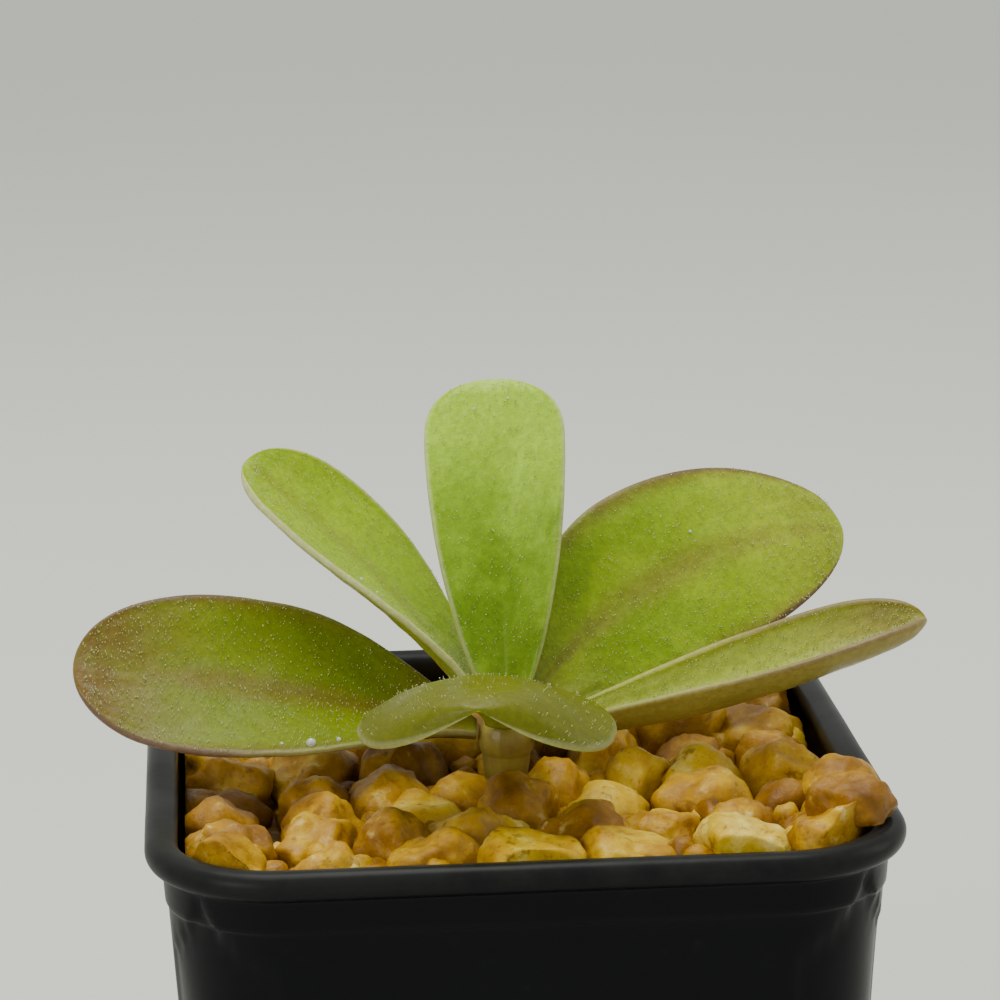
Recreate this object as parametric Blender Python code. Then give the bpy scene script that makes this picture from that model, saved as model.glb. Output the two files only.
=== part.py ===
# A butterwort in a square nursery pot, filled with golden gravel.
# Lengths below are in millimetres and become metres as each solid is made.
# The pot stands on Z = 0 about the Z axis, and the viewer looks along +Y.

import math

import bmesh
import bpy
from mathutils import Vector, noise

NAME = "butterwort_in_pot"
MM = 0.001
SEED = 41

# Pot
POT_HEIGHT = 64.0
RIM_HALF = 35.0          # outer half width over the rolled lip
RIM_DEPTH = 2.8
WALL_HALF = 33.45        # outer half width of the wall under the lip
TAPER = 0.062            # each side draws in by this much for each unit down
WALL = 1.2
FLOOR = 1.6
COLLAR_DEPTH = 3.0
COLLAR_STEP = 0.25
STRAIGHT = 22.6          # half length of the straight part of each side
CORNER_STEPS = 7
DRAIN_RADIUS = 1.7
DRAIN_OFFSET = 17.0

# Gravel
GAP = 0.35
BED_BELOW_RIM = 7.2
BED_UNDER_GRAINS = 0.4
GRAIN_PITCH = 7.6
GRAIN_RADIUS = 4.1
GRAIN_RING = 4.6
# Stones that lean over the lip at the front right corner: x, y, height over the rim, radius
PERCHED = ((29.6, -24.6, 0.2, 3.9), (30.4, -17.2, 0.0, 3.6))

# Crown and its root plug
CROWN_AT = (0.2, 1.0, 0.4)   # above the rim, which is the plane the plant is set out from
CROWN_RADIUS = 2.8
PLUG_RADIUS = 2.1
PLUG_LENGTH = 15.0
SEAT = 0.35

# Leaves
BLADE = 1.25             # full thickness
LEAF_AROUND = 16
LEAF_ALONG = 34

LOOKS = {
    "black plastic": ((0.012, 0.014, 0.016), 0.38),
    "golden gravel": ((0.48, 0.24, 0.05), 0.6),
    "crown skin": ((0.16, 0.11, 0.06), 0.5),
    "leaf skin": ((0.17, 0.27, 0.03), 0.4),
}
# A blade's form: half width at the neck, where it is widest, how it swells, how blunt it ends.
FORMS = {
    "paddle": dict(neck=1.5, belly=0.5, swell=1.0, blunt=2.3),
    "spoon": dict(neck=1.5, belly=0.8, swell=0.7, blunt=2.7),
    "spatula": dict(neck=1.9, belly=0.7, swell=2.0, blunt=2.7),
    "gutter": dict(neck=2.0, belly=0.55, swell=1.0, blunt=3.0),
}
# Each leaf leaves the crown at a heading and a rise, in degrees, which change by turn and arch at its tip.
# roll turns its width and hollow is the half angle across it, each at the base and at the tip.
LEAVES = {
    "leaf_left": dict(form="paddle", heading=180, turn=10, rise=15, arch=-5, length=40, width=21,
                      roll=(-15, -45), hollow=(0.8, 0.1)),
    "leaf_back_left": dict(form="paddle", heading=140, turn=35, rise=45, arch=-5, length=35, width=17,
                           roll=(20, -20), hollow=(0.4, 0.6)),
    "leaf_centre": dict(form="spoon", heading=95, turn=-10, rise=77, arch=-20, length=33, width=14,
                        roll=(10, -10), hollow=(0.5, 0.1)),
    "leaf_back": dict(form="paddle", heading=75, turn=0, rise=0, arch=40, length=32, width=15,
                      roll=(0, 0), hollow=(0.3, 0.3)),
    "leaf_right_upper": dict(form="paddle", heading=40, turn=-30, rise=42, arch=-45, length=43, width=20,
                             roll=(60, 45), hollow=(0.4, -0.2)),
    "leaf_right_low": dict(form="gutter", heading=-15, turn=15, rise=10, arch=15, length=40, width=12,
                           roll=(0, 25), hollow=(1.5, 1.5)),
    "leaf_front": dict(form="spatula", heading=260, turn=0, rise=45, arch=-50, length=30, width=26,
                       roll=(0, 0), hollow=(0.1, -1.1)),
}


def clear_scene():
    for item in list(bpy.data.objects):
        bpy.data.objects.remove(item, do_unlink=True)


def collection(name):
    group = bpy.data.collections.get(name) or bpy.data.collections.new(name)
    if group.name not in bpy.context.scene.collection.children:
        bpy.context.scene.collection.children.link(group)
    return group


def material(name, color, roughness):
    surface = bpy.data.materials.get(name)
    if surface is None:
        surface = bpy.data.materials.new(name)
        surface.use_nodes = True
        shader = surface.node_tree.nodes["Principled BSDF"]
        shader.inputs["Base Color"].default_value = (*color, 1.0)
        shader.inputs["Roughness"].default_value = roughness
        shader.inputs["Metallic"].default_value = 0.0
    return surface


def paint(item, name):
    item.data.materials.clear()
    item.data.materials.append(material(name, *LOOKS[name]))
    return item


def add_object(bm, name, group, smooth=True):
    bmesh.ops.recalc_face_normals(bm, faces=bm.faces[:])
    mesh = bpy.data.meshes.new(name)
    bm.to_mesh(mesh)
    bm.free()
    for polygon in mesh.polygons:
        polygon.use_smooth = smooth
    item = bpy.data.objects.new(name, mesh)
    group.objects.link(item)
    return item


def apply_boolean(item, operation, cutter=None, group=None, solver="EXACT"):
    change = item.modifiers.new("cut", "BOOLEAN")
    change.operation = operation
    change.solver = solver
    if group is not None:
        change.operand_type = "COLLECTION"
        change.collection = group
    else:
        change.object = cutter
    bpy.context.view_layer.update()
    depsgraph = bpy.context.evaluated_depsgraph_get()
    mesh = bpy.data.meshes.new_from_object(item.evaluated_get(depsgraph))
    item.modifiers.clear()
    old = item.data
    item.data = mesh
    bpy.data.meshes.remove(old)


def keep_largest(item):
    """Drop loose scraps and the skins of sealed hollows, which fills those hollows."""
    bm = bmesh.new()
    bm.from_mesh(item.data)
    left = set(bm.faces)
    islands = []
    while left:
        stack = [left.pop()]
        island = list(stack)
        while stack:
            for edge in stack.pop().edges:
                for face in edge.link_faces:
                    if face in left:
                        left.remove(face)
                        island.append(face)
                        stack.append(face)
        islands.append(island)
    islands.sort(key=len)
    scraps = [face for island in islands[:-1] for face in island]
    bmesh.ops.delete(bm, geom=scraps, context="FACES")
    bm.to_mesh(item.data)
    bm.free()


# Rounded square rings, used for the pot and for the gravel bed

def square_ring(half):
    """Points round a square of this half width whose corners are arcs."""
    radius = half - STRAIGHT
    points = []
    for corner in range(4):
        start = corner * math.pi / 2
        cx = STRAIGHT * (1 if corner in (0, 3) else -1)
        cy = STRAIGHT * (1 if corner in (0, 1) else -1)
        for step in range(CORNER_STEPS + 1):
            angle = start + step / CORNER_STEPS * math.pi / 2
            points.append((cx + radius * math.cos(angle), cy + radius * math.sin(angle)))
    return points


def loft_square(profile):
    """A sphere whose rings take these half widths and heights; its poles close the ends."""
    points = 4 * (CORNER_STEPS + 1)
    rings = len(profile)
    bm = bmesh.new()
    bmesh.ops.create_uvsphere(bm, u_segments=points, v_segments=rings + 1, radius=1.0)
    for vert in bm.verts:
        x, y, z = vert.co
        flat = math.hypot(x, y)
        level = math.acos(max(-1.0, min(1.0, z))) / math.pi * (rings + 1) - 1
        if flat < 1e-5:
            half, height = profile[0] if z > 0 else profile[-1]
            vert.co = (0, 0, height * MM)
            continue
        half, height = profile[int(round(level))]
        place = int(round(math.atan2(y, x) / (2 * math.pi) * points)) % points
        px, py = square_ring(half)[place]
        vert.co = (px * MM, py * MM, height * MM)
    return bm


def outer_half(z):
    return WALL_HALF - TAPER * (POT_HEIGHT - RIM_DEPTH - z)


def make_pot(group, cutters):
    top = POT_HEIGHT
    under = top - RIM_DEPTH
    collar = under - COLLAR_DEPTH
    profile = [(outer_half(0) - 1.2, 0.0), (outer_half(0) - 0.35, 0.35), (outer_half(1.2), 1.2)]
    profile += [(outer_half(z) - COLLAR_STEP, z) for z in (20.0, 40.0, collar - 0.5)]
    profile += [(outer_half(collar), collar), (outer_half(under - 0.3), under - 0.3)]
    lip_mid = RIM_HALF - 1.35
    profile += [(WALL_HALF + 0.35, under)]
    for step in range(1, 7):
        angle = math.radians(-70 + step * 30)
        profile.append((lip_mid + 1.35 * math.cos(angle), top - 1.4 + 1.4 * math.sin(angle)))
    profile += [(RIM_HALF - 2.5, top - 0.25), (RIM_HALF - 3.05, top - 0.75)]
    profile += [(outer_half(z) - WALL, z) for z in (under, 40.0, 20.0)]
    profile += [(outer_half(FLOOR + 1) - WALL, FLOOR + 1.0), (outer_half(FLOOR) - WALL - 1.0, FLOOR)]
    pot = add_object(loft_square(profile), "pot", group)
    for i, (sx, sy) in enumerate(((1, 1), (-1, 1), (-1, -1), (1, -1))):
        bm = bmesh.new()
        bmesh.ops.create_cone(bm, cap_ends=True, segments=16, radius1=DRAIN_RADIUS * MM,
                              radius2=DRAIN_RADIUS * MM, depth=8 * MM)
        bmesh.ops.translate(bm, verts=bm.verts[:], vec=(sx * DRAIN_OFFSET * MM, sy * DRAIN_OFFSET * MM, 0))
        drain = add_object(bm, "drain_%d" % i, cutters)
        drain.display_type = "WIRE"
        drain.hide_render = True
    apply_boolean(pot, "DIFFERENCE", group=cutters)
    return paint(pot, "black plastic")


# Gravel

def mixed(i, j=0, k=0):
    """A repeatable number from 0 to 1 for these counters."""
    value = math.sin((i + 1) * 12.9898 + (j + 3) * 78.233 + (k + 7) * 37.719 + SEED) * 43758.5453
    return value - math.floor(value)


def bed_level(x, y):
    """Height of the grain centres: low at the back and left, up to the lip in front."""
    front = max(0.0, min(1.0, (-y - 4.0) / 24.0))
    near = max(0.0, 1 - math.hypot(x - CROWN_AT[0], y - CROWN_AT[1]) / 16.0)
    right = max(0.0, min(1.0, (x - 2.0) / 16.0))
    return POT_HEIGHT - 5.7 + 2.4 * front + 1.7 * right * (1 - 0.5 * front) + 1.3 * near * (1 - front)


def make_gravel(group, cutters):
    bottom = FLOOR + GAP
    top = POT_HEIGHT - BED_BELOW_RIM
    clearance = WALL + GAP + 0.25
    profile = [(outer_half(bottom) - clearance - 1.3, bottom)]
    profile += [(outer_half(z) - clearance, z) for z in (bottom + 1.5, 30.0, top)]
    bm = loft_square(profile)
    for vert in bm.verts:
        if vert.co.z > (top - 1) * MM:
            vert.co.z = (bed_level(vert.co.x / MM, vert.co.y / MM) - BED_UNDER_GRAINS) * MM
    bed = add_object(bm, "gravel", group, smooth=False)
    grains = collection("grains")
    limit = outer_half(POT_HEIGHT - 8) - clearance
    count = 0
    rows = int(2 * limit / GRAIN_PITCH)
    for row in range(rows):
        y = -limit + GRAIN_RADIUS * 0.9 + row * (2 * limit - 1.8 * GRAIN_RADIUS) / (rows - 1)
        across = rows - 1 + row % 2
        for column in range(across):
            x = -limit + GRAIN_RADIUS * 0.9 + column * (2 * limit - 1.8 * GRAIN_RADIUS) / (across - 1)
            px = x + (mixed(row, column, 1) - 0.5) * 2.6
            py = y + (mixed(row, column, 2) - 0.5) * 2.6
            if math.hypot(px - CROWN_AT[0], py - CROWN_AT[1]) < GRAIN_RING:
                continue
            size = GRAIN_RADIUS * (0.84 + 0.34 * mixed(row, column, 3))
            pz = bed_level(px, py) + (mixed(row, column, 4) - 0.5) * 1.8
            grain_solid(count, px, py, pz, size, limit, grains)
            count += 1
    for x, y, z, size in PERCHED:
        grain_solid(count, x, y, POT_HEIGHT + z, size, limit, grains, perched=True)
        count += 1
    apply_boolean(bed, "UNION", group=grains, solver="MANIFOLD")
    for item in list(grains.objects):
        bpy.data.objects.remove(item, do_unlink=True)
    bpy.data.collections.remove(grains)
    keep_largest(bed)
    hole = crown_solid("hole", cutters, SEAT)
    hole.display_type = "WIRE"
    hole.hide_render = True
    apply_boolean(bed, "DIFFERENCE", cutter=hole, solver="MANIFOLD")
    keep_largest(bed)
    return paint(bed, "golden gravel")


def grain_solid(index, x, y, z, size, limit, group, perched=False):
    """One rounded, knobbly stone, kept inside the pot's wall or, where perched, over its lip."""
    bm = bmesh.new()
    bmesh.ops.create_icosphere(bm, subdivisions=2, radius=1.0)
    stretch = (0.85 + 0.35 * mixed(index, 5), 0.8 + 0.3 * mixed(index, 6), 0.78 + 0.3 * mixed(index, 7))
    turn = mixed(index, 8) * math.pi
    offset = Vector((index * 3.7, index * 1.9, index * 5.3))
    for vert in bm.verts:
        p = vert.co.copy()
        bump = 1 + 0.34 * noise.noise(p * 1.1 + offset)
        p = Vector((p.x * stretch[0], p.y * stretch[1], p.z * stretch[2])) * (size * bump)
        px = x + p.x * math.cos(turn) - p.y * math.sin(turn)
        py = y + p.x * math.sin(turn) + p.y * math.cos(turn)
        reach = max(abs(px), abs(py))
        pz = z + p.z
        if perched:
            if reach > limit - 3.0 or math.hypot(max(0, abs(px) - STRAIGHT), max(0, abs(py) - STRAIGHT)) > 5.6:
                pz = max(pz, POT_HEIGHT + 0.45)
            vert.co = (px * MM, py * MM, pz * MM)
            continue
        corner = math.hypot(max(0.0, abs(px) - STRAIGHT), max(0.0, abs(py) - STRAIGHT))
        room = limit - STRAIGHT
        if abs(px) > STRAIGHT and abs(py) > STRAIGHT and corner > room:
            px = math.copysign(STRAIGHT + (abs(px) - STRAIGHT) * room / corner, px)
            py = math.copysign(STRAIGHT + (abs(py) - STRAIGHT) * room / corner, py)
        elif reach > limit:
            px = max(-limit, min(limit, px))
            py = max(-limit, min(limit, py))
        vert.co = (px * MM, py * MM, pz * MM)
    add_object(bm, "grain_%02d" % index, group, smooth=False)


# Crown

def crown_solid(name, group, grow=0.0):
    """A knob on a tapered root plug. The hole for it is the same shape, a little larger."""
    bm = bmesh.new()
    bmesh.ops.create_uvsphere(bm, u_segments=20, v_segments=24, radius=1.0)
    for vert in bm.verts:
        x, y, z = vert.co
        flat = math.hypot(x, y)
        if z >= -0.55:
            radius = CROWN_RADIUS + grow
            spot = Vector((x * radius, y * radius, z * radius))
        else:
            depth = (-0.55 - z) / 0.45
            neck = math.sqrt(1 - 0.55 ** 2) * (CROWN_RADIUS + grow)
            radius = neck + (PLUG_RADIUS * (1 - 0.4 * depth) + grow - neck) * min(1.0, depth * 4)
            low = -0.55 * (CROWN_RADIUS + grow) - depth * (PLUG_LENGTH + grow)
            if flat < 1e-6:
                spot = Vector((0, 0, low))
            else:
                spot = Vector((x / flat * radius, y / flat * radius, low))
        vert.co = (spot + Vector(CROWN_AT) + Vector((0, 0, POT_HEIGHT))) * MM
    return add_object(bm, name, group)


# Leaves

def leaf_half_width(leaf, u):
    form, wide = FORMS[leaf["form"]], leaf["width"] / 2
    if u < form["belly"]:
        rise = math.sin(math.pi / 2 * max(0.0, u / form["belly"])) ** form["swell"]
        return form["neck"] + (wide - form["neck"]) * rise
    past = min(1.0, (u - form["belly"]) / (1 - form["belly"]))
    return wide * math.sqrt(max(0.0, 1 - past ** form["blunt"]))


def leaf_way(leaf, u):
    """The way the leaf points at u, as a vector of length one."""
    az = math.radians(leaf["heading"] + leaf["turn"] * u)
    el = math.radians(leaf["rise"] + leaf["arch"] * u)
    return Vector((math.cos(el) * math.cos(az), math.cos(el) * math.sin(az), math.sin(el)))


def leaf_point(leaf, u, v, lift):
    """The spot at u along, v across from -1 to 1, and this far above the middle of the blade."""
    third = leaf["length"] / 3
    a = Vector(CROWN_AT) + leaf_way(leaf, 0.0) * (CROWN_RADIUS + SEAT)
    b = a + leaf_way(leaf, 0.0) * third
    c = b + leaf_way(leaf, 0.5) * third
    d = c + leaf_way(leaf, 1.0) * third
    spot = a * (1 - u) ** 3 + b * (3 * (1 - u) ** 2 * u) + c * (3 * (1 - u) * u * u) + d * u ** 3
    along = (b - a) * (3 * (1 - u) ** 2) + (c - b) * (6 * (1 - u) * u) + (d - c) * (3 * u * u)
    along.normalize()
    squared = math.radians(leaf["heading"] + leaf["turn"] / 2)
    side = Vector((-math.sin(squared), math.cos(squared), 0.0))
    side = (side - along * side.dot(along)).normalized()
    up = along.cross(side)
    roll = math.radians(leaf["roll"][0] + (leaf["roll"][1] - leaf["roll"][0]) * u)
    side, up = side * math.cos(roll) + up * math.sin(roll), up * math.cos(roll) - side * math.sin(roll)
    bow = leaf["hollow"][0] + (leaf["hollow"][1] - leaf["hollow"][0]) * u
    if abs(bow) < 1e-3:
        bow = 1e-3
    width = leaf_half_width(leaf, u)
    angle = bow * v
    x = width * math.sin(angle) / bow
    z = width * (1 - math.cos(angle)) / bow
    normal = up * math.cos(angle) - side * math.sin(angle)
    return spot + side * x + up * z + normal * lift


def make_leaf(name, leaf, group):
    """A sphere drawn out along the leaf: its pole axis is the length, its equator the margin."""
    bm = bmesh.new()
    bmesh.ops.create_uvsphere(bm, u_segments=LEAF_AROUND, v_segments=LEAF_ALONG, radius=1.0)
    for vert in bm.verts:
        x, y, z = vert.co
        theta = math.acos(max(-1.0, min(1.0, z))) / math.pi
        flat = math.hypot(x, y)
        u = max(0.0, (theta - 1 / LEAF_ALONG) / (1 - 1 / LEAF_ALONG))
        u = 1 - (1 - u) ** 1.25
        across = x / flat if flat > 1e-5 else 0.0
        face = y / flat if flat > 1e-5 else 0.0
        thin = min(1.0, (1 - u) / 0.05) ** 0.5 if u < 1 else 0.0
        lift = math.copysign(abs(face) ** 0.6, face) * BLADE / 2 * max(0.35, thin)
        if flat <= 1e-5:
            lift = 0.0
        spot = leaf_point(leaf, u, across, lift) + Vector((0, 0, POT_HEIGHT))
        vert.co = spot * MM
    bmesh.ops.triangulate(bm, faces=bm.faces[:], quad_method="SHORT_EDGE")
    return add_object(bm, name, group)


clear_scene()
part = collection(NAME)
cutters = collection("cutters")
make_pot(part, cutters)
make_gravel(part, cutters)
paint(crown_solid("crown", part), "crown skin")
for leaf_name, values in LEAVES.items():
    paint(make_leaf(leaf_name, values, part), "leaf skin")
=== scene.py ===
import math

import bmesh
import bpy
from mathutils import Matrix, Vector, noise


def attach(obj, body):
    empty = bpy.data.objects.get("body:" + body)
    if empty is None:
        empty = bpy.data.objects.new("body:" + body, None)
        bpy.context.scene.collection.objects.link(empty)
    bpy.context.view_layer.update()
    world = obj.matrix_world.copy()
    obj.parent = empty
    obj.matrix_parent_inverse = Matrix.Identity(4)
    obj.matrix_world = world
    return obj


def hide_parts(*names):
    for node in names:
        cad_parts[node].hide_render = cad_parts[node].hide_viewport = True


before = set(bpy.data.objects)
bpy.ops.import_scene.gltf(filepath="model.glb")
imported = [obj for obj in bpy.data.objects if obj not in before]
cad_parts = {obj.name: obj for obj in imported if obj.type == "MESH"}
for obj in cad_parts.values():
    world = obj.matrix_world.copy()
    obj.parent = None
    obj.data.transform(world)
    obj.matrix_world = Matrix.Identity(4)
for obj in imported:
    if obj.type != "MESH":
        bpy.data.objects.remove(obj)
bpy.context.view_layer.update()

# Lengths are in millimetres and become metres as each mesh is made.
MM = 0.001
SEED = 41

# The pot, as the solid model has it
POT_HEIGHT = 64.0
RIM_HALF = 35.0
RIM_DEPTH = 2.8
WALL_HALF = 33.45
TAPER = 0.062
WALL = 1.2
FLOOR = 1.6
COLLAR_DEPTH = 3.0
COLLAR_STEP = 0.25
STRAIGHT = 22.6
GAP = 0.35

# The gravel
GRAIN_PITCH = 7.6
GRAIN_RADIUS = 4.1
GRAIN_RING = 4.6
# Stones that lean over the lip at the front right corner: x, y, height over the rim, radius
PERCHED = ((29.6, -24.6, 0.2, 3.9), (30.4, -17.2, 0.0, 3.6))

# The plant
CROWN_AT = (0.2, 1.0, 0.4)
CROWN_RADIUS = 2.8
SEAT = 0.35
BLADE = 1.25

# A blade's form: half width at the neck, where it is widest, how it swells, how blunt it ends.
FORMS = {
    "paddle": dict(neck=1.5, belly=0.5, swell=1.0, blunt=2.3),
    "spoon": dict(neck=1.5, belly=0.8, swell=0.7, blunt=2.7),
    "spatula": dict(neck=1.9, belly=0.7, swell=2.0, blunt=2.7),
    "gutter": dict(neck=2.0, belly=0.55, swell=1.0, blunt=3.0),
}
# Each leaf leaves the crown at a heading and a rise, in degrees, which change by turn and arch at its tip.
# roll turns its width and hollow is the half angle across it, each at the base and at the tip.
LEAVES = {
    "leaf_left": dict(form="paddle", heading=180, turn=10, rise=15, arch=-5, length=40, width=21,
                      roll=(-15, -45), hollow=(0.8, 0.1)),
    "leaf_back_left": dict(form="paddle", heading=140, turn=35, rise=45, arch=-5, length=35, width=17,
                           roll=(20, -20), hollow=(0.4, 0.6)),
    "leaf_centre": dict(form="spoon", heading=95, turn=-10, rise=77, arch=-20, length=33, width=14,
                        roll=(10, -10), hollow=(0.5, 0.1)),
    "leaf_back": dict(form="paddle", heading=75, turn=0, rise=0, arch=40, length=32, width=15,
                      roll=(0, 0), hollow=(0.3, 0.3)),
    "leaf_right_upper": dict(form="paddle", heading=40, turn=-30, rise=42, arch=-45, length=43, width=20,
                             roll=(60, 45), hollow=(0.4, -0.2)),
    "leaf_right_low": dict(form="gutter", heading=-15, turn=15, rise=10, arch=15, length=40, width=12,
                           roll=(0, 25), hollow=(1.5, 1.5)),
    "leaf_front": dict(form="spatula", heading=260, turn=0, rise=45, arch=-50, length=30, width=26,
                       roll=(0, 0), hollow=(0.1, -1.1)),
}


# Small helpers

def clamp(value, low=0.0, high=1.0):
    return max(low, min(high, value))


def smooth(edge0, edge1, value):
    t = clamp((value - edge0) / (edge1 - edge0))
    return t * t * (3 - 2 * t)


def mixed(i, j=0, k=0):
    """A repeatable number from 0 to 1 for these counters."""
    value = math.sin((i + 1) * 12.9898 + (j + 3) * 78.233 + (k + 7) * 37.719 + SEED) * 43758.5453
    return value - math.floor(value)


def finish_mesh(bm, name, material, replaced=(), smooth_faces=True):
    """A mesh object at the origin that rides the root body."""
    bmesh.ops.recalc_face_normals(bm, faces=bm.faces[:])
    mesh = bpy.data.meshes.new(name)
    bm.to_mesh(mesh)
    bm.free()
    mesh.polygons.foreach_set("use_smooth", [smooth_faces] * len(mesh.polygons))
    mesh.materials.append(material)
    item = bpy.data.objects.new(name, mesh)
    bpy.context.scene.collection.objects.link(item)
    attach(item, "root")
    if replaced:
        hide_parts(*replaced)
    return item


# Shader helpers

def new_material(name, **constants):
    surface = bpy.data.materials.new(name)
    surface.use_nodes = True
    shader = surface.node_tree.nodes["Principled BSDF"]
    for key, value in constants.items():
        shader.inputs[key.replace("_", " ")].default_value = value
    return surface, surface.node_tree, shader


def node(tree, kind, **settings):
    made = tree.nodes.new(kind)
    for key, value in settings.items():
        setattr(made, key, value)
    return made


def ramp(tree, source, stops):
    made = tree.nodes.new("ShaderNodeValToRGB")
    elements = made.color_ramp.elements
    while len(elements) < len(stops):
        elements.new(0.5)
    for element, (place, color) in zip(elements, stops):
        element.position = place
        element.color = (*color, 1.0)
    tree.links.new(source, made.inputs["Fac"])
    return made.outputs["Color"]


def blend(tree, factor, first, second):
    """Mix two colours, each a socket or a constant, by a factor that is a socket or a number."""
    made = node(tree, "ShaderNodeMix", data_type="RGBA")
    for place, value in ((0, factor), (6, first), (7, second)):
        if hasattr(value, "links"):
            tree.links.new(value, made.inputs[place])
        elif place == 0:
            made.inputs[0].default_value = value
        else:
            made.inputs[place].default_value = (*value, 1.0)
    return made.outputs[2]


def calc(tree, operation, first, second=None, limit=False):
    made = node(tree, "ShaderNodeMath", operation=operation, use_clamp=limit)
    for place, value in ((0, first), (1, second)):
        if value is None:
            continue
        if hasattr(value, "links"):
            tree.links.new(value, made.inputs[place])
        else:
            made.inputs[place].default_value = value
    return made.outputs[0]


def span(tree, value, low, high, out_low=0.0, out_high=1.0):
    made = node(tree, "ShaderNodeMapRange", interpolation_type="SMOOTHSTEP")
    tree.links.new(value, made.inputs["Value"])
    for key, number in (("From Min", low), ("From Max", high), ("To Min", out_low), ("To Max", out_high)):
        made.inputs[key].default_value = number
    return made.outputs["Result"]


def cloud(tree, coordinates, scale, detail=4.0, roughness=0.55):
    made = node(tree, "ShaderNodeTexNoise")
    made.inputs["Scale"].default_value = scale
    made.inputs["Detail"].default_value = detail
    made.inputs["Roughness"].default_value = roughness
    tree.links.new(coordinates, made.inputs["Vector"])
    return made.outputs["Fac"]


def attribute(tree, name):
    return node(tree, "ShaderNodeAttribute", attribute_name=name).outputs["Fac"]


# Leaf skin: one shared tone group, and a material for each leaf with its own greens

def leaf_tone_group():
    group = bpy.data.node_groups.new("leaf tone", "ShaderNodeTree")
    add = group.interface.new_socket
    for name in ("Green", "Bright", "Blush", "Under"):
        add(name=name, in_out="INPUT", socket_type="NodeSocketColor")
    for name in ("Tip blush", "Margin blush", "Rib blush", "Base blush", "Pale rim", "Plum rim",
                 "Upper painted light"):
        add(name=name, in_out="INPUT", socket_type="NodeSocketFloat")
    add(name="Color", in_out="OUTPUT", socket_type="NodeSocketColor")
    add(name="Height", in_out="OUTPUT", socket_type="NodeSocketFloat")
    add(name="Wet", in_out="OUTPUT", socket_type="NodeSocketFloat")
    inside = group.nodes.new("NodeGroupInput")
    outside = group.nodes.new("NodeGroupOutput")
    where = group.nodes.new("ShaderNodeTexCoord").outputs["Object"]
    along = attribute(group, "along")
    across = attribute(group, "across")
    face = attribute(group, "face")
    edge = calc(group, "ABSOLUTE", across)
    broad = cloud(group, where, 160.0, 3.0)
    blotch = cloud(group, where, 420.0, 4.0)
    grain = cloud(group, where, 1500.0, 5.0, 0.7)
    fine = cloud(group, where, 3600.0, 2.0, 0.6)
    # Painted light: a per-leaf weight paints the upper part of each blade towards its Bright green, standing
    # in for the light it catches from above; the broad cloud adds a random paler tone on top.
    bright = calc(group, "MULTIPLY", span(group, along, 0.35, 0.95), inside.outputs["Upper painted light"])
    bright = calc(group, "ADD", bright, calc(group, "MULTIPLY", span(group, broad, 0.42, 0.62), 0.35), True)
    color = blend(group, bright, inside.outputs["Green"], inside.outputs["Bright"])
    tip = calc(group, "MULTIPLY", span(group, along, 0.62, 1.0), inside.outputs["Tip blush"])
    margin = calc(group, "MULTIPLY", span(group, edge, 0.72, 1.0), inside.outputs["Margin blush"])
    margin = calc(group, "MULTIPLY", margin, span(group, along, 0.1, 0.5))
    rib = calc(group, "MULTIPLY", span(group, edge, 0.30, 0.02), inside.outputs["Rib blush"])
    base = calc(group, "MULTIPLY", span(group, along, 0.34, 0.02), inside.outputs["Base blush"])
    total = calc(group, "MAXIMUM", calc(group, "MAXIMUM", tip, margin), calc(group, "MAXIMUM", rib, base))
    total = calc(group, "MULTIPLY", total, span(group, blotch, 0.25, 0.62, 0.55, 1.0), True)
    color = blend(group, total, color, inside.outputs["Blush"])
    under = span(group, face, 0.15, -0.15)
    color = blend(group, calc(group, "MULTIPLY", under, 0.75), color, inside.outputs["Under"])
    rim = calc(group, "MULTIPLY", span(group, edge, 0.93, 1.0), inside.outputs["Pale rim"])
    color = blend(group, rim, color, (0.62, 0.60, 0.33))
    plum = calc(group, "MULTIPLY", span(group, edge, 0.90, 0.99), inside.outputs["Plum rim"])
    plum = calc(group, "MULTIPLY", plum, span(group, along, 0.42, 0.72))
    color = blend(group, plum, color, (0.10, 0.030, 0.036))
    speck = span(group, grain, 0.38, 0.66)
    shade = node(group, "ShaderNodeMix", data_type="RGBA", blend_type="MULTIPLY")
    shade.inputs[0].default_value = 1.0
    group.links.new(color, shade.inputs[6])
    flecks = ramp(group, speck, [(0.0, (0.86, 0.86, 0.80)), (1.0, (1.05, 1.05, 1.10))])
    group.links.new(flecks, shade.inputs[7])
    group.links.new(shade.outputs[2], outside.inputs["Color"])
    height = calc(group, "ADD", calc(group, "MULTIPLY", grain, 0.7), calc(group, "MULTIPLY", fine, 0.35))
    group.links.new(height, outside.inputs["Height"])
    group.links.new(span(group, blotch, 0.35, 0.7, 0.42, 0.26), outside.inputs["Wet"])
    return group


LEAF_TONE = leaf_tone_group()


def leaf_material(name, looks):
    surface, tree, shader = new_material(name, Subsurface_Weight=0.14, Subsurface_Scale=0.0025, IOR=1.42,
                                         Specular_IOR_Level=0.26, Coat_Weight=0.04, Coat_Roughness=0.25)
    shader.inputs["Subsurface Radius"].default_value = (0.9, 1.0, 0.25)
    tone = tree.nodes.new("ShaderNodeGroup")
    tone.node_tree = LEAF_TONE
    for key, value in looks.items():
        tone.inputs[key].default_value = (*value, 1.0) if isinstance(value, tuple) else value
    tree.links.new(tone.outputs["Color"], shader.inputs["Base Color"])
    tree.links.new(tone.outputs["Wet"], shader.inputs["Roughness"])
    bump = node(tree, "ShaderNodeBump")
    bump.inputs["Strength"].default_value = 0.6
    bump.inputs["Distance"].default_value = 0.00016
    tree.links.new(tone.outputs["Height"], bump.inputs["Height"])
    tree.links.new(bump.outputs["Normal"], shader.inputs["Normal"])
    return surface


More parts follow.
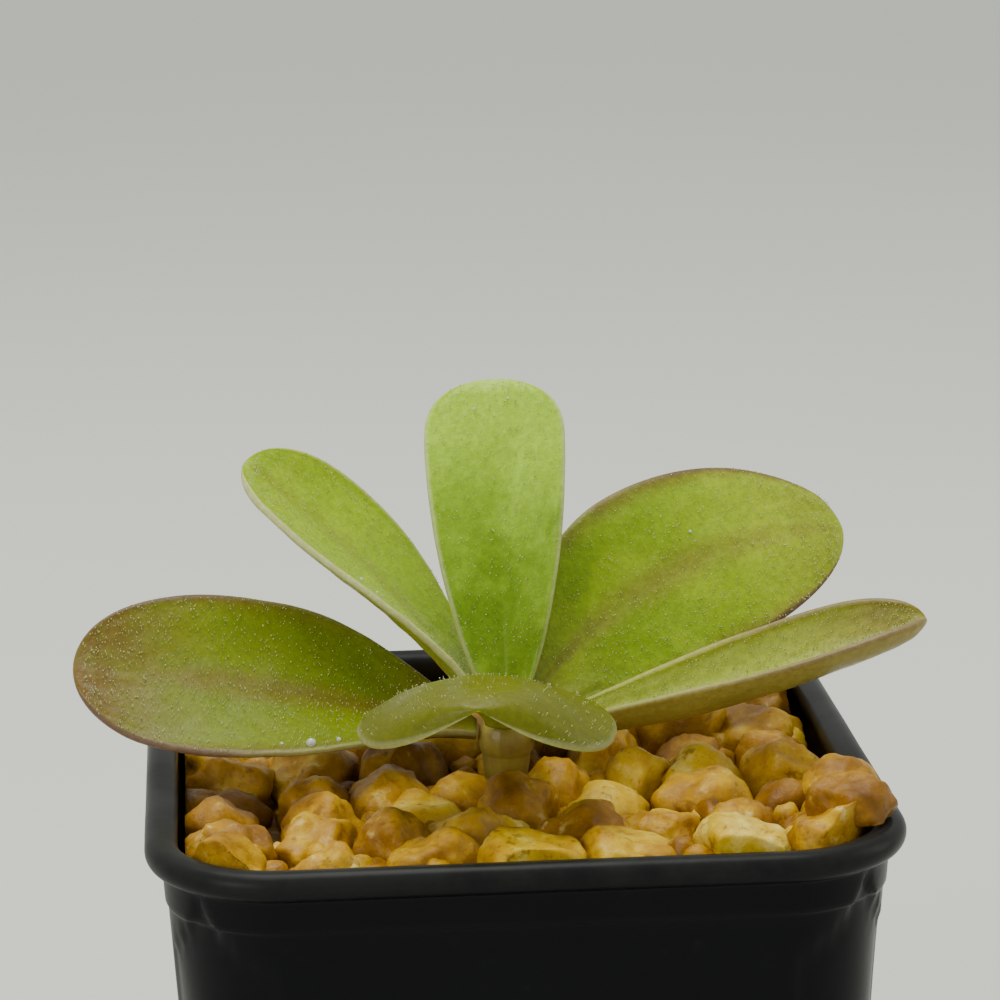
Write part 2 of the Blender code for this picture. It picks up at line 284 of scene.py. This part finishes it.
BLUSH = (0.19, 0.115, 0.035)
BASE = (0.30, 0.22, 0.05)
UNDER = (0.26, 0.19, 0.05)
LOOKS = {
    "leaf_left": {"Green": (0.15, 0.21, 0.0), "Bright": (0.19, 0.235, 0.0), "Blush": (0.17, 0.095, 0.020),
                  "Plum rim": 0.75, "Under": UNDER, "Tip blush": 0.95, "Margin blush": 0.6,
                  "Rib blush": 0.6, "Base blush": 0.7,
                  "Pale rim": 0.2, "Upper painted light": 0.25},
    "leaf_back_left": {"Green": (0.29, 0.46, 0.0), "Bright": (0.37, 0.54, 0.002), "Blush": BLUSH,
                       "Under": (0.32, 0.35, 0.05), "Tip blush": 0.1, "Margin blush": 0.2, "Rib blush": 0.3,
                       "Base blush": 0.4, "Pale rim": 0.6, "Upper painted light": 0.3},
    "leaf_centre": {"Green": (0.155, 0.29, 0.0), "Bright": (0.40, 0.64, 0.03), "Blush": BLUSH,
                    "Under": (0.32, 0.35, 0.05), "Tip blush": 0.0, "Margin blush": 0.0, "Rib blush": 0.0,
                    "Base blush": 0.15, "Pale rim": 0.5, "Upper painted light": 1.0},
    "leaf_back": {"Green": (0.18, 0.20, 0.01), "Bright": (0.22, 0.24, 0.02), "Blush": (0.10, 0.055, 0.01),
                  "Under": UNDER, "Tip blush": 0.3, "Margin blush": 0.4, "Rib blush": 0.3, "Base blush": 0.6,
                  "Pale rim": 0.2, "Upper painted light": 0.2},
    "leaf_right_upper": {"Green": (0.185, 0.30, 0.0), "Bright": (0.35, 0.49, 0.006),
                         "Blush": (0.20, 0.13, 0.035),
                         "Plum rim": 0.8, "Under": (0.26, 0.27, 0.04), "Tip blush": 0.4,
                         "Margin blush": 0.85, "Rib blush": 0.55,
                         "Base blush": 0.5, "Pale rim": 0.05, "Upper painted light": 0.8},
    "leaf_right_low": {"Green": (0.33, 0.40, 0.025), "Bright": (0.37, 0.41, 0.045),
                       "Blush": (0.25, 0.17, 0.045),
                       "Plum rim": 0.5, "Under": UNDER, "Tip blush": 0.8, "Margin blush": 0.45,
                       "Rib blush": 0.0,
                       "Base blush": 0.3, "Pale rim": 0.2, "Upper painted light": 0.4},
    "leaf_front": {"Green": (0.115, 0.125, 0.0), "Bright": (0.145, 0.155, 0.004), "Blush": BASE,
                   "Under": (0.44, 0.60, 0.0), "Tip blush": 0.0, "Margin blush": 0.0, "Rib blush": 0.1,
                   "Base blush": 0.9, "Pale rim": 0.35, "Upper painted light": 0.3},
}


# Leaves, by the same formula as the solids

def leaf_half_width(leaf, u):
    form, wide = FORMS[leaf["form"]], leaf["width"] / 2
    if u < form["belly"]:
        rise = math.sin(math.pi / 2 * max(0.0, u / form["belly"])) ** form["swell"]
        return form["neck"] + (wide - form["neck"]) * rise
    past = min(1.0, (u - form["belly"]) / (1 - form["belly"]))
    return wide * math.sqrt(max(0.0, 1 - past ** form["blunt"]))


def leaf_way(leaf, u):
    """The way the leaf points at u, as a vector of length one."""
    az = math.radians(leaf["heading"] + leaf["turn"] * u)
    el = math.radians(leaf["rise"] + leaf["arch"] * u)
    return Vector((math.cos(el) * math.cos(az), math.cos(el) * math.sin(az), math.sin(el)))


def leaf_point(leaf, u, v, lift):
    """The spot at u along, v across from -1 to 1, and this far above the middle of the blade."""
    third = leaf["length"] / 3
    a = Vector(CROWN_AT) + leaf_way(leaf, 0.0) * (CROWN_RADIUS + SEAT)
    b = a + leaf_way(leaf, 0.0) * third
    c = b + leaf_way(leaf, 0.5) * third
    d = c + leaf_way(leaf, 1.0) * third
    spot = a * (1 - u) ** 3 + b * (3 * (1 - u) ** 2 * u) + c * (3 * (1 - u) * u * u) + d * u ** 3
    along = (b - a) * (3 * (1 - u) ** 2) + (c - b) * (6 * (1 - u) * u) + (d - c) * (3 * u * u)
    along.normalize()
    squared = math.radians(leaf["heading"] + leaf["turn"] / 2)
    side = Vector((-math.sin(squared), math.cos(squared), 0.0))
    side = (side - along * side.dot(along)).normalized()
    up = along.cross(side)
    roll = math.radians(leaf["roll"][0] + (leaf["roll"][1] - leaf["roll"][0]) * u)
    side, up = side * math.cos(roll) + up * math.sin(roll), up * math.cos(roll) - side * math.sin(roll)
    bow = leaf["hollow"][0] + (leaf["hollow"][1] - leaf["hollow"][0]) * u
    if abs(bow) < 1e-3:
        bow = 1e-3
    width = leaf_half_width(leaf, u)
    angle = bow * v
    x = width * math.sin(angle) / bow
    z = width * (1 - math.cos(angle)) / bow
    normal = up * math.cos(angle) - side * math.sin(angle)
    return spot + side * x + up * z + normal * lift + Vector((0, 0, POT_HEIGHT)), normal


def blade_relief(index, u, v, face):
    """Soft swells, a shallow rib and a thick rim, in millimetres off the plain blade."""
    swell = 0.22 * noise.noise(Vector((u * 5.5 + index * 9.1, v * 2.2, 3.3)))
    swell += 0.07 * noise.noise(Vector((u * 17.0 + index * 3.1, v * 6.5, 8.8)))
    rib = math.exp(-(v / 0.07) ** 2) * (1 - 0.7 * u)
    rim = math.exp(-((abs(v) - 0.95) / 0.05) ** 2)
    fade = smooth(0.0, 0.12, u) * smooth(1.0, 0.96, u)
    if face >= 0:
        return (swell - 0.16 * rib + 0.10 * rim) * fade
    return (swell - 0.14 * rib - 0.05 * rim) * fade


def make_leaf(index, name, leaf):
    around, length = ((112, 150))
    bm = bmesh.new()
    bmesh.ops.create_uvsphere(bm, u_segments=around, v_segments=length, radius=1.0)
    layers = [bm.verts.layers.float.new(key) for key in ("along", "across", "face")]
    for vert in bm.verts:
        x, y, z = vert.co
        theta = math.acos(clamp(z, -1.0, 1.0)) / math.pi
        flat = math.hypot(x, y)
        u = max(0.0, (theta - 1 / length) / (1 - 1 / length))
        u = 1 - (1 - u) ** 1.35
        across = x / flat if flat > 1e-5 else 0.0
        face = y / flat if flat > 1e-5 else 0.0
        thin = min(1.0, (1 - u) / 0.05) ** 0.5 if u < 1 else 0.0
        lift = math.copysign(abs(face) ** 0.6, face) * BLADE / 2 * max(0.2, thin)
        if flat <= 1e-5:
            lift = 0.0
        lift += blade_relief(index, u, across, face)
        spot, normal = leaf_point(leaf, u, across, lift)
        vert.co = spot * MM
        for layer, value in zip(layers, (u, across, face)):
            vert[layer] = value
    return finish_mesh(bm, name + "_skin", leaf_material(name + " skin", LOOKS[name]), (name,))


# Gland hairs with their droplets

def copies(bm, count):
    """Double what bm holds until it has this many copies; each vertex keeps its copy's number."""
    layer = bm.verts.layers.int.new("copy")
    made = 1
    while made < count:
        keep = min(made, count - made)
        source = [vert for vert in bm.verts if vert[layer] < keep]
        chosen = set(source)
        faces = [face for face in bm.faces if face.verts[0] in chosen]
        result = bmesh.ops.duplicate(bm, geom=source + faces)
        for item in result["geom"]:
            if isinstance(item, bmesh.types.BMVert):
                item[layer] += made
        made += keep
    return layer


def make_glands(index, name, leaf, material, count, faces=(1,)):
    """Short stalks that each carry a bead, scattered over the sticky face and out to the rim."""
    count = count
    bm = bmesh.new()
    bmesh.ops.create_cone(bm, cap_ends=False, segments=3, radius1=1.0, radius2=0.5, depth=1.0)
    stalk = bm.verts.layers.int.new("stalk")
    for vert in bm.verts:
        vert[stalk] = 1
    bmesh.ops.create_icosphere(bm, subdivisions=1, radius=1.0)
    layer = copies(bm, count)
    places = []
    for i in range(count):
        u = 0.12 + 0.86 * mixed(i, index, 11) ** 0.8
        v = -0.985 + 1.97 * mixed(i, index, 12)
        face = faces[i % len(faces)]
        rim = math.sqrt(max(0.0, 1 - v * v)) ** 0.6
        base, normal = leaf_point(leaf, u, v, face * BLADE / 2 * rim + blade_relief(index, u, v, face))
        tall = 0.13 + 0.20 * mixed(i, index, 13)
        bead = 0.040 + 0.045 * mixed(i, index, 14) ** 2
        lean = Vector((mixed(i, index, 15) - 0.5, mixed(i, index, 16) - 0.5, 0.4 * mixed(i, index, 17)))
        way = (normal * face + lean * 0.5).normalized()
        places.append((base, way, way.to_track_quat("Z", "Y").to_matrix(), tall, bead))
    for vert in bm.verts:
        base, way, turn, tall, bead = places[vert[layer]]
        if vert[stalk]:
            p = turn @ Vector((vert.co.x * 0.022, vert.co.y * 0.022, (vert.co.z + 0.45) * tall))
        else:
            p = turn @ (vert.co * bead) + way * (tall * 0.92)
        vert.co = (base + p) * MM
    return finish_mesh(bm, name + "_glands", material, ())


def bead_material():
    surface, tree, shader = new_material("gland beads", Roughness=0.12, IOR=1.36, Specular_IOR_Level=0.6,
                                         Coat_Weight=0.5, Coat_Roughness=0.08, Subsurface_Weight=0.1,
                                         Subsurface_Scale=0.001)
    where = tree.nodes.new("ShaderNodeTexCoord").outputs["Object"]
    color = ramp(tree, cloud(tree, where, 700.0, 2.0), [(0.3, (0.36, 0.42, 0.10)), (0.7, (0.56, 0.56, 0.30))])
    tree.links.new(color, shader.inputs["Base Color"])
    return surface


def dew_material():
    surface, tree, shader = new_material("dew", Roughness=0.04, IOR=1.33, Transmission_Weight=0.6,
                                         Coat_Weight=1.0, Coat_Roughness=0.03)
    where = tree.nodes.new("ShaderNodeTexCoord").outputs["Object"]
    color = ramp(tree, cloud(tree, where, 300.0, 1.0), [(0.3, (0.90, 0.92, 0.86)), (0.7, (0.98, 0.99, 0.95))])
    tree.links.new(color, shader.inputs["Base Color"])
    return surface


DEW = (
    ("leaf_left", 0.43, 0.90, 0.50), ("leaf_left", 0.36, 0.86, 0.24), ("leaf_left", 0.50, 0.84, 0.16),
    ("leaf_back_left", 0.52, 0.62, 0.22), ("leaf_back_left", 0.46, 0.60, 0.17),
    ("leaf_back_left", 0.44, 0.66, 0.15), ("leaf_centre", 0.90, 0.30, 0.16),
    ("leaf_centre", 0.93, -0.25, 0.14), ("leaf_right_upper", 0.62, 0.30, 0.16),
    ("leaf_right_low", 0.32, -0.55, 0.15), ("leaf_right_low", 0.27, -0.50, 0.12),
)


def make_dew():
    bm = bmesh.new()
    for name, u, v, radius in DEW:
        base, normal = leaf_point(LEAVES[name], u, v, BLADE / 2 * math.sqrt(1 - v * v) ** 0.6)
        place = Matrix.Translation((base + normal * radius * 0.5) * MM)
        bmesh.ops.create_icosphere(bm, subdivisions=4, radius=radius * MM, matrix=place)
    return finish_mesh(bm, "dew_drops", dew_material(), ())


# The pot

def square_point(half, place):
    """The spot at this share of the way round a square whose corners are arcs."""
    radius = half - STRAIGHT
    quarter = place * 4
    corner = int(quarter) % 4
    inside = quarter - int(quarter)
    cx = STRAIGHT * (1 if corner in (0, 3) else -1)
    cy = STRAIGHT * (1 if corner in (0, 1) else -1)
    arc = 0.62
    if inside <= arc:
        angle = (corner + inside / arc) * math.pi / 2
        return cx + radius * math.cos(angle), cy + radius * math.sin(angle), inside / arc
    share = (inside - arc) / (1 - arc)
    angle = (corner + 1) * math.pi / 2
    x, y = cx + radius * math.cos(angle), cy + radius * math.sin(angle)
    run = 2 * STRAIGHT * share
    return x - run * math.sin(angle), y + run * math.cos(angle), -1.0


def outer_half(z):
    return WALL_HALF - TAPER * (POT_HEIGHT - RIM_DEPTH - z)


def pot_profile():
    top = POT_HEIGHT
    under = top - RIM_DEPTH
    collar = under - COLLAR_DEPTH
    rows = [(outer_half(0) - 1.3, 0.0), (outer_half(0) - 0.7, 0.06), (outer_half(0.3) - 0.3, 0.35),
            (outer_half(1.0) - 0.05, 1.0)]
    steps = 40
    rows += [(outer_half(z) - COLLAR_STEP, z) for z in
             [1.6 + (collar - 0.7 - 1.6) * i / steps for i in range(steps + 1)]]
    rows += [(outer_half(collar) - COLLAR_STEP * s, collar - 0.5 + 0.5 * i / 4)
             for i, s in enumerate((0.95, 0.75, 0.35, 0.08))]
    rows += [(outer_half(collar + t) , collar + t) for t in (0.3, 1.0, 1.8, under - 0.45 - collar)]
    rows += [(WALL_HALF + 0.03, under - 0.2), (WALL_HALF + 0.16, under - 0.06), (WALL_HALF + 0.45, under)]
    middle = RIM_HALF - 1.35
    for step in range(17):
        angle = math.radians(-62 + step * 10.5)
        rows.append((middle + 1.35 * math.cos(angle), top - 1.4 + 1.4 * math.sin(angle)))
    rows += [(RIM_HALF - 2.1, top - 0.10), (RIM_HALF - 2.6, top - 0.30), (RIM_HALF - 2.95, top - 0.70),
             (RIM_HALF - 3.07, top - 1.2)]
    rows += [(outer_half(z) - WALL, z) for z in (under, 56.0, 50.0, 40.0, 20.0)]
    rows += [(outer_half(FLOOR + 1) - WALL, FLOOR + 1.0), (outer_half(FLOOR) - WALL - 1.0, FLOOR)]
    return rows


def corner_flute(share, z, outer):
    """The moulded arch at each corner: the wall steps in below a curve that drops from the corner."""
    if share < 0 or not outer:
        return 0.0
    low = POT_HEIGHT - RIM_DEPTH - 1.4
    arch = low - 9.5 * abs(share - 0.5) ** 0.5 / 0.5 ** 0.5 * 0.9 + 2.2
    return -0.38 * smooth(arch, arch - 1.0, z) * smooth(0.0, 0.12, share) * smooth(1.0, 0.88, share)


def make_pot():
    rows = pot_profile()
    points = 224
    bm = bmesh.new()
    bmesh.ops.create_uvsphere(bm, u_segments=points, v_segments=len(rows) + 1, radius=1.0)
    lip = rows.index(max(rows, key=lambda row: row[1]))
    for vert in bm.verts:
        x, y, z = vert.co
        flat = math.hypot(x, y)
        level = math.acos(clamp(z, -1.0, 1.0)) / math.pi * (len(rows) + 1) - 1
        if flat < 1e-5:
            vert.co = (0, 0, (rows[0] if z > 0 else rows[-1])[1] * MM)
            continue
        row = int(round(level))
        half, height = rows[row]
        place = (math.atan2(y, x) / (2 * math.pi)) % 1.0
        px, py, share = square_point(half, place)
        inset = corner_flute(share, height, row < lip - 8)
        drift = 0.06 * noise.noise(Vector((px * 0.09, py * 0.09, height * 0.09)))
        length = math.hypot(px, py)
        px += px / length * (inset + drift * (1 if row > 3 else 0))
        py += py / length * (inset + drift * (1 if row > 3 else 0))
        vert.co = (px * MM, py * MM, height * MM)
    return finish_mesh(bm, "pot_shell", pot_material(), ("pot",))


def pot_material():
    surface, tree, shader = new_material("black plastic", IOR=1.49, Specular_IOR_Level=0.10, Metallic=0.0)
    where = tree.nodes.new("ShaderNodeTexCoord").outputs["Object"]
    wide = cloud(tree, where, 45.0, 3.0)
    fine = cloud(tree, where, 900.0, 3.0)
    # This cloud lays real dust on the plastic and also breaks up the painted lip highlight.
    dust_and_sheen = cloud(tree, where, 210.0, 5.0, 0.65)
    color = ramp(tree, wide, [(0.3, (0.0010, 0.0012, 0.0020)), (0.7, (0.0022, 0.0025, 0.0035))])
    color = blend(tree, span(tree, dust_and_sheen, 0.60, 0.80, 0.0, 0.12), color, (0.04, 0.04, 0.036))
    height = node(tree, "ShaderNodeSeparateXYZ")
    tree.links.new(where, height.inputs[0])
    # Painted highlight: the top of the lip is painted a paler grey, patchy with the dust cloud, so that it
    # reads as lit from above.
    painted_lip_highlight = span(tree, height.outputs["Z"], (POT_HEIGHT - RIM_DEPTH) * MM, (POT_HEIGHT - 0.8) * MM, 0.0, 0.5)
    painted_lip_highlight = calc(tree, "MULTIPLY", painted_lip_highlight, span(tree, dust_and_sheen, 0.3, 0.6, 0.5, 1.0))
    color = blend(tree, painted_lip_highlight, color, (0.026, 0.027, 0.024))
    tree.links.new(color, shader.inputs["Base Color"])
    tree.links.new(span(tree, wide, 0.3, 0.7, 0.30, 0.42), shader.inputs["Roughness"])
    bump = node(tree, "ShaderNodeBump")
    bump.inputs["Strength"].default_value = 0.12
    bump.inputs["Distance"].default_value = 0.0001
    tree.links.new(fine, bump.inputs["Height"])
    tree.links.new(bump.outputs["Normal"], shader.inputs["Normal"])
    return surface


# The gravel

def bed_level(x, y):
    front = max(0.0, min(1.0, (-y - 4.0) / 24.0))
    near = max(0.0, 1 - math.hypot(x - CROWN_AT[0], y - CROWN_AT[1]) / 16.0)
    right = max(0.0, min(1.0, (x - 2.0) / 16.0))
    return POT_HEIGHT - 5.7 + 2.4 * front + 1.7 * right * (1 - 0.5 * front) + 1.3 * near * (1 - front)


def grain_places():
    """Centre and size of every grain, as in the solid model; the stones perched over the lip come last."""
    clearance = WALL + GAP + 0.25
    limit = outer_half(POT_HEIGHT - 8) - clearance
    rows = int(2 * limit / GRAIN_PITCH)
    places = []
    for row in range(rows):
        y = -limit + GRAIN_RADIUS * 0.9 + row * (2 * limit - 1.8 * GRAIN_RADIUS) / (rows - 1)
        across = rows - 1 + row % 2
        for column in range(across):
            x = -limit + GRAIN_RADIUS * 0.9 + column * (2 * limit - 1.8 * GRAIN_RADIUS) / (across - 1)
            px = x + (mixed(row, column, 1) - 0.5) * 2.6
            py = y + (mixed(row, column, 2) - 0.5) * 2.6
            if math.hypot(px - CROWN_AT[0], py - CROWN_AT[1]) < GRAIN_RING:
                continue
            size = GRAIN_RADIUS * (0.84 + 0.34 * mixed(row, column, 3))
            pz = bed_level(px, py) + (mixed(row, column, 4) - 0.5) * 1.8
            places.append((len(places), px, py, pz, size, limit, False))
    for x, y, z, size in PERCHED:
        places.append((len(places), x, y, POT_HEIGHT + z, size, limit, True))
    return places


def stone(bm, index, x, y, z, size, limit, steps, tint_and_shade_layer, perched=False):
    """A weathered, knobbly stone: a sphere cut by soft planes, with lumps and pits."""
    made = bmesh.ops.create_icosphere(bm, subdivisions=steps, radius=1.0)["verts"]
    stretch = (0.85 + 0.35 * mixed(index, 5), 0.8 + 0.3 * mixed(index, 6), 0.78 + 0.3 * mixed(index, 7))
    turn = mixed(index, 8) * math.pi
    offset = Vector((index * 3.7, index * 1.9, index * 5.3))
    planes = []
    for k in range(9):
        a, b = mixed(index, k, 21) * 2 * math.pi, math.asin(2 * mixed(index, k, 22) - 1)
        planes.append((Vector((math.cos(b) * math.cos(a), math.cos(b) * math.sin(a), math.sin(b))),
                       0.74 + 0.22 * mixed(index, k, 23)))
    room = limit - STRAIGHT
    for vert in made:
        p = vert.co.copy()
        reach = 1.08
        for normal, depth in planes:
            facing = p.dot(normal)
            if facing > 0.2:
                cut = depth / facing
                gap = clamp((reach - cut) / 0.16 + 0.5)
                reach = reach * (1 - gap) + cut * gap - 0.04 * gap * (1 - gap)
        bump = reach * (1 + 0.22 * noise.noise(p * 1.1 + offset) + 0.085 * noise.noise(p * 3.1 + offset)
                        + 0.028 * noise.noise(p * 7.5 + offset))
        p = Vector((p.x * stretch[0], p.y * stretch[1], p.z * stretch[2])) * (size * bump)
        px = x + p.x * math.cos(turn) - p.y * math.sin(turn)
        py = y + p.x * math.sin(turn) + p.y * math.cos(turn)
        corner = math.hypot(max(0.0, abs(px) - STRAIGHT), max(0.0, abs(py) - STRAIGHT))
        pz = z + p.z
        if perched:
            if max(abs(px), abs(py)) > limit - 3.0 or corner > 5.6:
                pz = max(pz, POT_HEIGHT + 0.15)
        elif abs(px) > STRAIGHT and abs(py) > STRAIGHT and corner > room:
            px = math.copysign(STRAIGHT + (abs(px) - STRAIGHT) * room / corner, px)
            py = math.copysign(STRAIGHT + (abs(py) - STRAIGHT) * room / corner, py)
        else:
            px, py = clamp(px, -limit, limit), clamp(py, -limit, limit)
        vert.co = (px * MM, py * MM, pz * MM)
        # Painted shade: stone surface that sinks below the bed gets a lower tint, which darkens the crevices
        # between grains; the rest of the tint is each stone's random tone.
        painted_crevice_shade = clamp((bed_level(px, py) + 0.5 - pz) / 1.7)
        vert[tint_and_shade_layer] = mixed(index, 31) - 1.3 * painted_crevice_shade


def gravel_material():
    surface, tree, shader = new_material("golden gravel", IOR=1.45, Specular_IOR_Level=0.3,
                                         Subsurface_Weight=0.05, Subsurface_Scale=0.002)
    shader.inputs["Subsurface Radius"].default_value = (1.0, 0.5, 0.1)
    where = tree.nodes.new("ShaderNodeTexCoord").outputs["Object"]
    tint_and_shade = attribute(tree, "tint_and_shade")
    patch = cloud(tree, where, 210.0, 5.0, 0.6)
    vein = cloud(tree, where, 520.0, 6.0, 0.65)
    pore = cloud(tree, where, 1900.0, 4.0, 0.7)
    # The tint carries each stone's random tone and the painted crevice shade, which pulls buried surface
    # towards the darkest ramp stops.
    mix = calc(tree, "ADD", calc(tree, "MULTIPLY", tint_and_shade, 0.30), calc(tree, "MULTIPLY", patch, 0.85))
    color = ramp(tree, mix, [(0.26, (0.10, 0.034, 0.0)), (0.44, (0.26, 0.112, 0.0)),
                             (0.60, (0.45, 0.232, 0.0)), (0.74, (0.62, 0.40, 0.006)),
                             (0.92, (0.84, 0.68, 0.16))])
    cream = calc(tree, "MULTIPLY", span(tree, vein, 0.55, 0.68), span(tree, patch, 0.40, 0.62))
    color = blend(tree, calc(tree, "MULTIPLY", cream, 0.6), color, (0.82, 0.68, 0.22))
    rust = calc(tree, "MULTIPLY", span(tree, vein, 0.44, 0.34), 0.75)
    color = blend(tree, rust, color, (0.20, 0.085, 0.0))
    color = blend(tree, span(tree, pore, 0.42, 0.30, 0.0, 0.45), color, (0.14, 0.06, 0.0))
    tree.links.new(color, shader.inputs["Base Color"])
    tree.links.new(span(tree, vein, 0.3, 0.7, 0.48, 0.28), shader.inputs["Roughness"])
    bump = node(tree, "ShaderNodeBump")
    bump.inputs["Strength"].default_value = 0.7
    bump.inputs["Distance"].default_value = 0.00035
    height = calc(tree, "ADD", calc(tree, "MULTIPLY", vein, 0.8), calc(tree, "MULTIPLY", pore, 0.3))
    tree.links.new(height, bump.inputs["Height"])
    tree.links.new(bump.outputs["Normal"], shader.inputs["Normal"])
    return surface


def make_gravel():
    material = gravel_material()
    bm = bmesh.new()
    layer = bm.verts.layers.float.new("tint_and_shade")
    places = grain_places()
    for index, x, y, z, size, limit, perched in places:
        stone(bm, index, x, y, z, size, limit, 5 if y < -18 else 4, layer, perched)
    stones = finish_mesh(bm, "gravel_stones", material, ("gravel",))
    bm = bmesh.new()
    layer = bm.verts.layers.float.new("tint_and_shade")
    limit = places[0][5]
    for i in range(230):
        x, y = (2 * mixed(i, 41) - 1) * (limit - 1.5), (2 * mixed(i, 42) - 1) * (limit - 1.5)
        if math.hypot(x - CROWN_AT[0], y - CROWN_AT[1]) < GRAIN_RING:
            continue
        size = 1.1 + 1.1 * mixed(i, 43)
        stone(bm, 200 + i, x, y, bed_level(x, y) - 0.6 + 1.4 * mixed(i, 44), size, limit, 3, layer)
    finish_mesh(bm, "gravel_chips", material, ())
    bm = bmesh.new()
    layer = bm.verts.layers.float.new("tint_and_shade")
    bmesh.ops.create_uvsphere(bm, u_segments=96, v_segments=24, radius=1.0)
    bottom = FLOOR + GAP
    for vert in bm.verts:
        x, y, z = vert.co
        flat = math.hypot(x, y)
        level = math.acos(clamp(z, -1.0, 1.0)) / math.pi * 24
        place = (math.atan2(y, x) / (2 * math.pi)) % 1.0
        height = bottom if level < 1.5 else min(56.0, bottom + (level - 1.5) * 5.0)
        half = outer_half(height) - WALL - GAP - 0.25
        fill = 1.0 if level <= 12 else (24 - level) / 12
        if flat < 1e-5:
            vert.co = (0, 0, (bottom if z > 0 else bed_level(0, 0) - 1.0) * MM)
            continue
        px, py, _ = square_point(half, place)
        if level > 12:
            px, py = px * fill, py * fill
        if level > 11.5:
            height = bed_level(px, py) - 0.8 + 0.9 * noise.noise(Vector((px * 0.5, py * 0.5, 1.0)))
        vert.co = (px * MM, py * MM, height * MM)
        # Painted shade: a low tint paints the bed that shows between the stones dark.
        vert[layer] = 0.05
    finish_mesh(bm, "gravel_bed", material, ())
    return stones


# Crown

def crown_material():
    surface, tree, shader = new_material("crown skin", IOR=1.42, Subsurface_Weight=0.1,
                                         Subsurface_Scale=0.002, Coat_Weight=0.1)
    where = tree.nodes.new("ShaderNodeTexCoord").outputs["Object"]
    patch = cloud(tree, where, 600.0, 4.0)
    color = ramp(tree, patch, [(0.3, (0.28, 0.19, 0.04)), (0.7, (0.38, 0.32, 0.05))])
    tree.links.new(color, shader.inputs["Base Color"])
    tree.links.new(span(tree, patch, 0.3, 0.7, 0.55, 0.38), shader.inputs["Roughness"])
    return surface


make_pot()
make_gravel()
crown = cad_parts["crown"]
crown.data.materials.clear()
crown.data.materials.append(crown_material())
beads = bead_material()
GLANDS = {"leaf_left": 1700, "leaf_back_left": 1100, "leaf_centre": 900, "leaf_back": 500,
          "leaf_right_upper": 1900, "leaf_right_low": 1500, "leaf_front": 350}
for index, (leaf_name, values) in enumerate(LEAVES.items()):
    make_leaf(index, leaf_name, values)
    make_glands(index, leaf_name, values, beads, GLANDS[leaf_name])
make_dew()


# Floor, light and camera

def make_stage():
    bpy.ops.mesh.primitive_plane_add(size=6.0, location=(0, 1.5, 0))
    floor = bpy.context.object
    floor.name = "floor"
    surface, tree, shader = new_material("pale floor", Roughness=0.9)
    where = tree.nodes.new("ShaderNodeTexCoord").outputs["Object"]
    far = node(tree, "ShaderNodeSeparateXYZ")
    tree.links.new(where, far.inputs[0])
    near = ramp(tree, cloud(tree, where, 3.0, 2.0), [(0.3, (0.67, 0.695, 0.63)), (0.7, (0.70, 0.725, 0.66))])
    # Painted light: the floor is painted paler towards the back, standing in for the light that the lamps
    # leave weaker there.
    tree.links.new(blend(tree, span(tree, far.outputs["Y"], -1.4, 0.3), near, (0.87, 0.90, 0.83)),
                   shader.inputs["Base Color"])
    floor.data.materials.append(surface)


def area_light(name, place, target, size, power, color=(1, 1, 1)):
    lamp = bpy.data.lights.new(name, "AREA")
    lamp.shape = "RECTANGLE"
    lamp.size, lamp.size_y = size
    lamp.energy = power
    lamp.color = color
    item = bpy.data.objects.new(name, lamp)
    item.location = place
    way = Vector(target) - Vector(place)
    item.rotation_euler = way.to_track_quat("-Z", "Y").to_euler()
    bpy.context.scene.collection.objects.link(item)


make_stage()
area_light("overhead", (-0.06, 0.10, 0.70), (0, 0, 0.08), (0.45, 0.45), 4.2, (1.0, 0.985, 0.955))
area_light("front", (-0.60, -0.65, 0.42), (0, 0, 0.07), (0.35, 0.35), 2.6)
area_light("side", (0.8, 0.05, 0.35), (0, 0, 0.07), (0.3, 0.5), 1.0)
world = bpy.data.worlds.new("studio")
world.use_nodes = True
world.node_tree.nodes["Background"].inputs["Color"].default_value = (0.86, 0.88, 0.84, 1)
world.node_tree.nodes["Background"].inputs["Strength"].default_value = 0.80
bpy.context.scene.world = world

PITCH, YAW, ROLL = math.radians(14), math.radians(-5), math.radians(-0.5)
DISTANCE, ASIDE, ABOVE = 340, -0.5, 24
back = Vector((math.sin(YAW) * math.cos(PITCH), -math.cos(YAW) * math.cos(PITCH), math.sin(PITCH)))
level = Vector((math.cos(YAW), math.sin(YAW), 0.0))
above = back.cross(level)
right = level * math.cos(ROLL) + above * math.sin(ROLL)
above = above * math.cos(ROLL) - level * math.sin(ROLL)
spot = back * DISTANCE + right * ASIDE + above * ABOVE + Vector((0, 0, POT_HEIGHT))
lens = bpy.data.cameras.new("camera")
lens.sensor_width = 36.0
lens.lens = 125.0
lens.clip_start = 0.01
camera = bpy.data.objects.new("camera", lens)
camera.matrix_world = Matrix.Translation(spot * MM) @ Matrix((right, above, back)).transposed().to_4x4()
bpy.context.scene.collection.objects.link(camera)
bpy.context.scene.camera = camera
